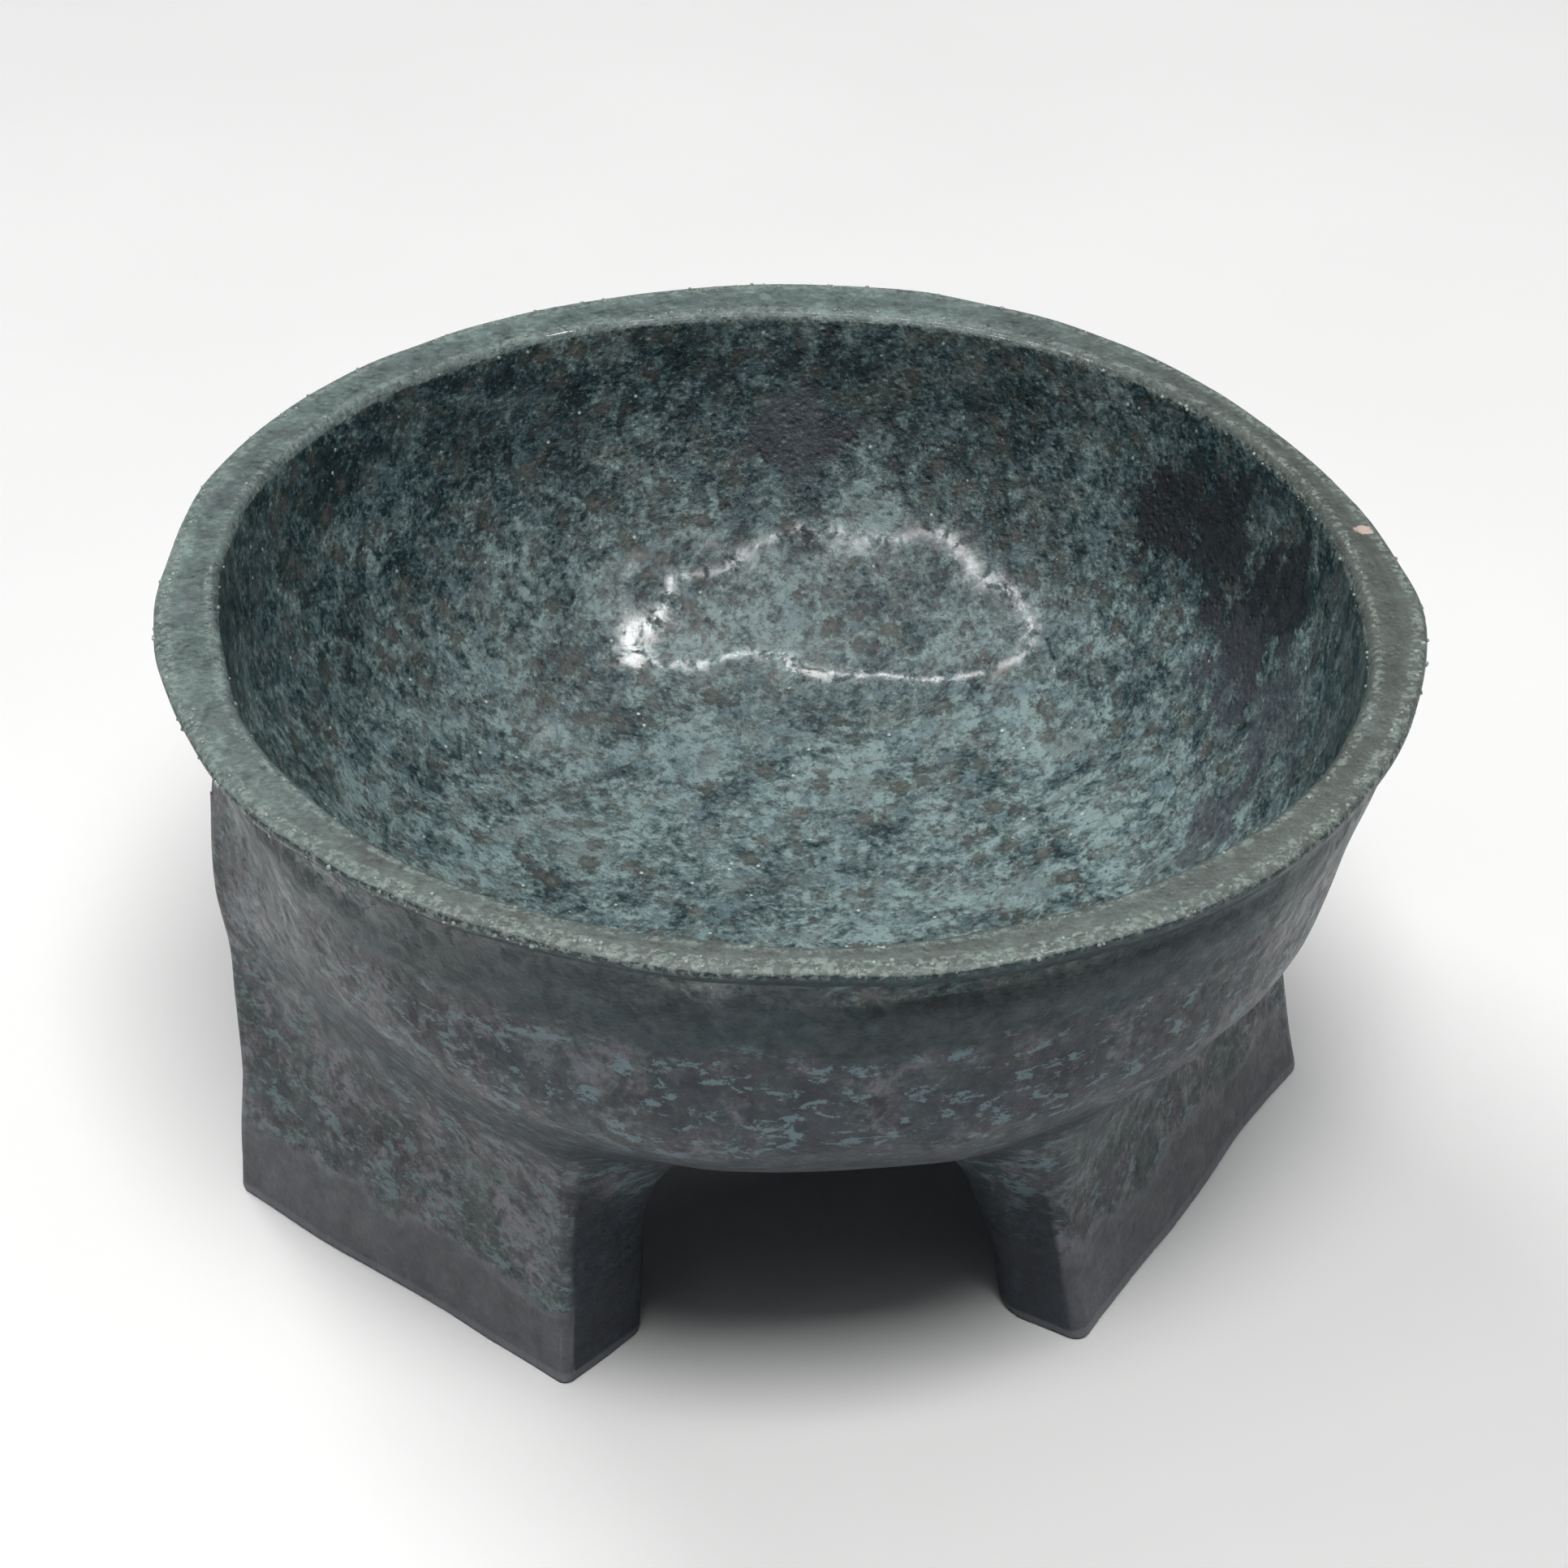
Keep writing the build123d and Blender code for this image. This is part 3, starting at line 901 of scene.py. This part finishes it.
def crumb_material(settings):
    """Pale, dry crust of the crumbs."""
    glaze = Glaze("crumb_surface", settings)
    colour = mottled(glaze, 1.0, 0.0, 0.25, shades(settings.crumb_pale, 0.45, 1.0, 1.7))
    bump = glaze.start.node("ShaderNodeBump", None, {
        "Strength": 0.5, "Distance": 0.05 * MM, "Height": glaze.clouds(0.2)})
    roughness = (settings.roughness + (glaze.clouds(0.6) - 0.5) * 0.4).clamp()
    shader = glaze.start.node("ShaderNodeBsdfPrincipled", None, {
        "Base Color": colour, "Roughness": roughness, "Normal": bump})
    glaze.start.node("ShaderNodeOutputMaterial", None, {"Surface": shader})
    return glaze.material


def glaze_for(slot, settings):
    """The glaze of one material slot, made once."""
    name = f"{slot}_surface"
    return bpy.data.materials.get(name) or glaze_material(name, settings)


# ---- operators


class MOLCAJETE_OT_lip(bpy.types.Operator):
    """Make the flat lip"""

    bl_idname = "molcajete.lip"
    bl_label = "Lip"

    def execute(self, context):
        shape = context.scene.molcajete_shape
        clay = Clay(shape)
        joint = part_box("rim_lip")[0].z
        low = (PACKED_LOW.x - GRID_ROOM, PACKED_LOW.y - GRID_ROOM, joint - GRID_ROOM)
        high = (PACKED_HIGH.x + GRID_ROOM, PACKED_HIGH.y + GRID_ROOM, PACKED_HIGH.z + CUT_ROOM)
        lip = clay_object(clay, "glazed_lip", low, high, shape.fine_cell)
        above = box_object("above", (low[0], low[1], joint), (high[0], high[1], high[2] + CUT_ROOM))
        cut(lip, above, "INTERSECT")
        discard(above)
        keep_largest(lip)
        dress(clay, lip, glaze_for("lip_glaze", context.scene.molcajete_glaze))
        settle(lip, "rim_lip")
        return {"FINISHED"}


def crumb_tree(material):
    """Geometry nodes that scatter small rounded crumbs over a surface."""
    tree = bpy.data.node_groups.new("glaze_crumbs", "GeometryNodeTree")
    tree.interface.new_socket("Surface", in_out="INPUT", socket_type="NodeSocketGeometry")
    for name, kind in (("Density", "Float"), ("Smallest", "Float"), ("Largest", "Float"), ("Seed", "Int")):
        tree.interface.new_socket(name, in_out="INPUT", socket_type=f"NodeSocket{kind}")
    tree.interface.new_socket("Crumbs", in_out="OUTPUT", socket_type="NodeSocketGeometry")
    entry = tree.nodes.new("NodeGroupInput")
    surface, density, smallest, largest, seed = (Shade(tree, socket) for socket in entry.outputs[:5])
    points = surface.node("GeometryNodeDistributePointsOnFaces", None, {
        "Mesh": surface, "Density": density, "Seed": seed})
    crumb = surface.node("GeometryNodeMeshIcoSphere", None, {"Radius": 1.0, "Subdivisions": 1})
    size = surface.node("FunctionNodeRandomValue", {"data_type": "FLOAT"}, {
        2: smallest, 3: largest, 8: seed}, 1)
    placed = surface.node("GeometryNodeInstanceOnPoints", None, {
        "Points": points, "Instance": crumb, "Scale": size})
    solid = surface.node("GeometryNodeRealizeInstances", None, {"Geometry": placed})
    dressed = surface.node("GeometryNodeSetMaterial", None, {"Geometry": solid, "Material": material})
    surface.node("NodeGroupOutput", None, {0: dressed})
    return tree


class MOLCAJETE_OT_crumbs(bpy.types.Operator):
    """Scatter crusty crumbs of glaze along the edges of the lip"""

    bl_idname = "molcajete.crumbs"
    bl_label = "Glaze crumbs"

    def execute(self, context):
        lip = bpy.data.objects["glazed_lip"].data
        bend = np.empty(len(lip.vertices), np.float32)
        lip.attributes["bend"].data.foreach_get("value", bend)
        sharp = bend > LIP_EDGE_BEND
        edge = [[lip.vertices[corner].co for corner in face.vertices] for face in lip.polygons
                if face.center.z > LIP_EDGE_HEIGHT and all(sharp[corner] for corner in face.vertices)]
        points = [corner for face in edge for corner in face]
        starts = np.cumsum([0] + [len(face) for face in edge])
        faces = [list(range(start, end)) for start, end in zip(starts[:-1], starts[1:])]
        crumbs = mesh_object("glaze_crumbs", points, faces)
        settings = context.scene.molcajete_glaze
        material = crumb_material(settings)
        modifier = crumbs.modifiers.new("crumbs", "NODES")
        modifier.node_group = crumb_tree(material)
        values = {"Density": settings.crumb_density, "Smallest": SMALLEST_CRUMB, "Largest": LARGEST_CRUMB,
                  "Seed": CRUMB_SEED}
        for item in modifier.node_group.interface.items_tree:
            if item.in_out == "INPUT" and item.name in values:
                modifier[item.identifier] = values[item.name]
        bpy.context.view_layer.update()
        evaluated = crumbs.evaluated_get(bpy.context.evaluated_depsgraph_get())
        mesh = bpy.data.meshes.new_from_object(evaluated)
        crumbs.modifiers.clear()
        crumbs.data = mesh
        mesh.shade_smooth()
        if not mesh.polygons:
            raise RuntimeError("no crumbs were scattered")
        settle(crumbs, "rim_lip")
        return {"FINISHED"}


class MOLCAJETE_OT_bowl(bpy.types.Operator):
    """Make the bowl below its lip"""

    bl_idname = "molcajete.bowl"
    bl_label = "Bowl"

    def execute(self, context):
        shape = context.scene.molcajete_shape
        clay = Clay(shape)
        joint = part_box("rim_lip")[0].z
        low = (PACKED_LOW.x - GRID_ROOM, PACKED_LOW.y - GRID_ROOM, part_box("bowl")[0].z - BOWL_ROOM)
        high = (PACKED_HIGH.x + GRID_ROOM, PACKED_HIGH.y + GRID_ROOM, joint + BOWL_ROOM)
        bowl = clay_object(clay, "glazed_bowl", low, high, shape.bowl_cell)
        share = mesh_object("share", *field_surface(clay.joint_belly, low, high, shape.bowl_cell))
        below = box_object("below", (low[0], low[1], low[2] - CUT_ROOM), (high[0], high[1], joint))
        cut(bowl, below, "INTERSECT")
        cut(bowl, share, "INTERSECT")
        discard(share, below)
        keep_largest(bowl)
        dress(clay, bowl, glaze_for("bowl_glaze", context.scene.molcajete_glaze))
        settle(bowl, "bowl")
        return {"FINISHED"}


class MOLCAJETE_OT_legs(bpy.types.Operator):
    """Make the three slab legs and the clay pressed into their joints"""

    bl_idname = "molcajete.legs"
    bl_label = "Legs and joints"

    def execute(self, context):
        shape = context.scene.molcajete_shape
        clay = Clay(shape)
        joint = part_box("rim_lip")[0].z
        for name, leg in LEGS.items():
            low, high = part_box(name)
            low = (low.x - JOINT_ROOM, low.y - JOINT_ROOM, -GRID_ROOM)
            high = (high.x + JOINT_ROOM, high.y + JOINT_ROOM, joint)
            raw = clay_object(clay, f"glazed_{name}", low, high, shape.fine_cell)
            room = box_object("room", [edge + GRID_ROOM for edge in low[:2]] + [-BOWL_ROOM],
                              [edge - GRID_ROOM for edge in high[:2]] + [joint - GRID_ROOM])
            cut(raw, room, "INTERSECT")
            share = mesh_object("share", *field_surface(clay.joint_belly, low, high, shape.bowl_cell))
            cut(raw, share, "DIFFERENCE")
            slab = mesh_object("slab", *field_surface(
                lambda x, y, z: clay.joint_slab(leg, x, y, z), low, high, shape.bowl_cell))
            coil = mesh_object(f"luted_{name}_coil", [], [])
            coil.data = raw.data.copy()
            cut(raw, slab, "INTERSECT")
            cut(coil, slab, "DIFFERENCE")
            discard(share, slab, room)
            for piece, node, slot in ((raw, name, "leg_glaze"), (coil, f"{name}_coil", "coil_glaze")):
                keep_largest(piece)
                dress(clay, piece, glaze_for(slot, context.scene.molcajete_glaze))
                settle(piece, node)
        return {"FINISHED"}


class MOLCAJETE_OT_stage(bpy.types.Operator):
    """Set the floor, lights and camera"""

    bl_idname = "molcajete.stage"
    bl_label = "Stage"

    def execute(self, context):
        settings = context.scene.molcajete_stage
        make_floor(settings)
        make_camera(context.scene, settings)
        make_lights(context.scene)
        return {"FINISHED"}


def make_camera(scene, settings):
    """Camera that looks down into the bowl from the front."""
    camera = bpy.data.objects.new("camera", bpy.data.cameras.new("camera"))
    scene.collection.objects.link(camera)
    level = math.cos(settings.elevation)
    back = Vector((math.sin(settings.azimuth) * level, -math.cos(settings.azimuth) * level,
                   math.sin(settings.elevation)))
    camera.location = Vector(settings.aim) + back * settings.distance
    camera.rotation_mode = "QUATERNION"
    camera.rotation_quaternion = (-back).to_track_quat("-Z", "Y")
    camera.data.lens = settings.lens
    camera.data.sensor_width = 36.0
    camera.data.clip_start = 0.01
    scene.camera = camera


def make_floor(settings):
    """Pale painted tabletop, faintly uneven in tone."""
    corners = [(x * FLOOR_HALF, y * FLOOR_HALF, 0) for x, y in ((-1, -1), (1, -1), (1, 1), (-1, 1))]
    floor = mesh_object("floor", corners, [(0, 1, 2, 3)])
    material = bpy.data.materials.new("painted_table")
    material.use_nodes = True
    tree = material.node_tree
    tree.nodes.clear()
    start = Shade(tree, None)
    place = start.node("ShaderNodeTexCoord", None, None, 3)
    cloud = start.node("ShaderNodeTexNoise", None, {"Vector": place, "Scale": 9.0, "Detail": 5.0})
    colour = cloud.step(0.3, 0.7).mix(tint(settings.floor_colour, 0.97), settings.floor_colour)
    shader = start.node("ShaderNodeBsdfPrincipled", None, {"Base Color": colour, "Roughness": 0.6})
    start.node("ShaderNodeOutputMaterial", None, {"Surface": shader})
    floor.data.materials.append(material)


def area_light(scene, name, place, aim, size, power):
    """Soft rectangular light."""
    light = bpy.data.lights.new(name, "AREA")
    light.shape = "RECTANGLE"
    light.size, light.size_y = size
    light.energy = power
    lamp = bpy.data.objects.new(name, light)
    scene.collection.objects.link(lamp)
    lamp.location = place
    lamp.rotation_mode = "QUATERNION"
    lamp.rotation_quaternion = (Vector(aim) - Vector(place)).to_track_quat("-Z", "Y")
    return lamp


def make_lights(scene):
    """Soft panel of light above and in front, with a brighter frame round it that shows in the glaze."""
    scene.view_settings.view_transform = "Standard"
    world = bpy.data.worlds.new("studio")
    world.use_nodes = True
    sky = world.node_tree.nodes["Background"]
    sky.inputs["Color"].default_value = SKY_COLOUR
    sky.inputs["Strength"].default_value = SKY_STRENGTH
    scene.world = world
    x, y, z = PANEL_CENTRE
    width, depth = PANEL_SIZE
    area_light(scene, "panel", (x, y, z), (x, y, 0.0), PANEL_SIZE, PANEL_POWER)
    for side in (-1, 1):
        across = (x, y + side * depth / 2.0)
        along = (x + side * width / 2.0, y)
        for name, place, size in (("x", across, (width, STRIP_WIDTH)), ("y", along, (STRIP_WIDTH, depth))):
            strip = area_light(scene, f"strip_{name}{side:+d}", (*place, z), (*place, 0.0), size, STRIP_POWER)
            strip.visible_diffuse = False
    for name, (place, aim, size, power) in SOFT_LAMPS.items():
        lamp = area_light(scene, name, place, aim, size, power)
        lamp.visible_glossy = False


class MOLCAJETE_PT_panel(bpy.types.Panel):
    """Lists the molcajete's settings and steps"""

    bl_label = "Molcajete"
    bl_space_type = "VIEW_3D"
    bl_region_type = "UI"
    bl_category = "Molcajete"

    def draw(self, context):
        for group in GROUPS:
            settings = getattr(context.scene, group)
            box = self.layout.box()
            for key in settings.__annotations__:
                box.prop(settings, key)
        for operator in OPERATORS:
            self.layout.operator(operator.bl_idname)


GROUPS = {
    "molcajete_shape": MolcajeteShape,
    "molcajete_glaze": MolcajeteGlaze,
    "molcajete_stage": MolcajeteStage,
}
OPERATORS = (MOLCAJETE_OT_stage, MOLCAJETE_OT_lip, MOLCAJETE_OT_crumbs, MOLCAJETE_OT_bowl, MOLCAJETE_OT_legs)


def register():
    """Registers the settings, the steps and the panel."""
    for key, group in GROUPS.items():
        bpy.utils.register_class(group)
        setattr(bpy.types.Scene, key, bpy.props.PointerProperty(type=group))
    for operator in OPERATORS:
        bpy.utils.register_class(operator)
    bpy.utils.register_class(MOLCAJETE_PT_panel)


def unregister():
    """Takes everything back out."""
    bpy.utils.unregister_class(MOLCAJETE_PT_panel)
    for operator in reversed(OPERATORS):
        bpy.utils.unregister_class(operator)
    for key, group in GROUPS.items():
        delattr(bpy.types.Scene, key)
        bpy.utils.unregister_class(group)


def main():
    """Builds every piece in order."""
    register()
    bpy.ops.molcajete.stage()
    bpy.ops.molcajete.lip()
    bpy.ops.molcajete.crumbs()
    bpy.ops.molcajete.bowl()
    bpy.ops.molcajete.legs()


if __name__ == "__main__":
    main()
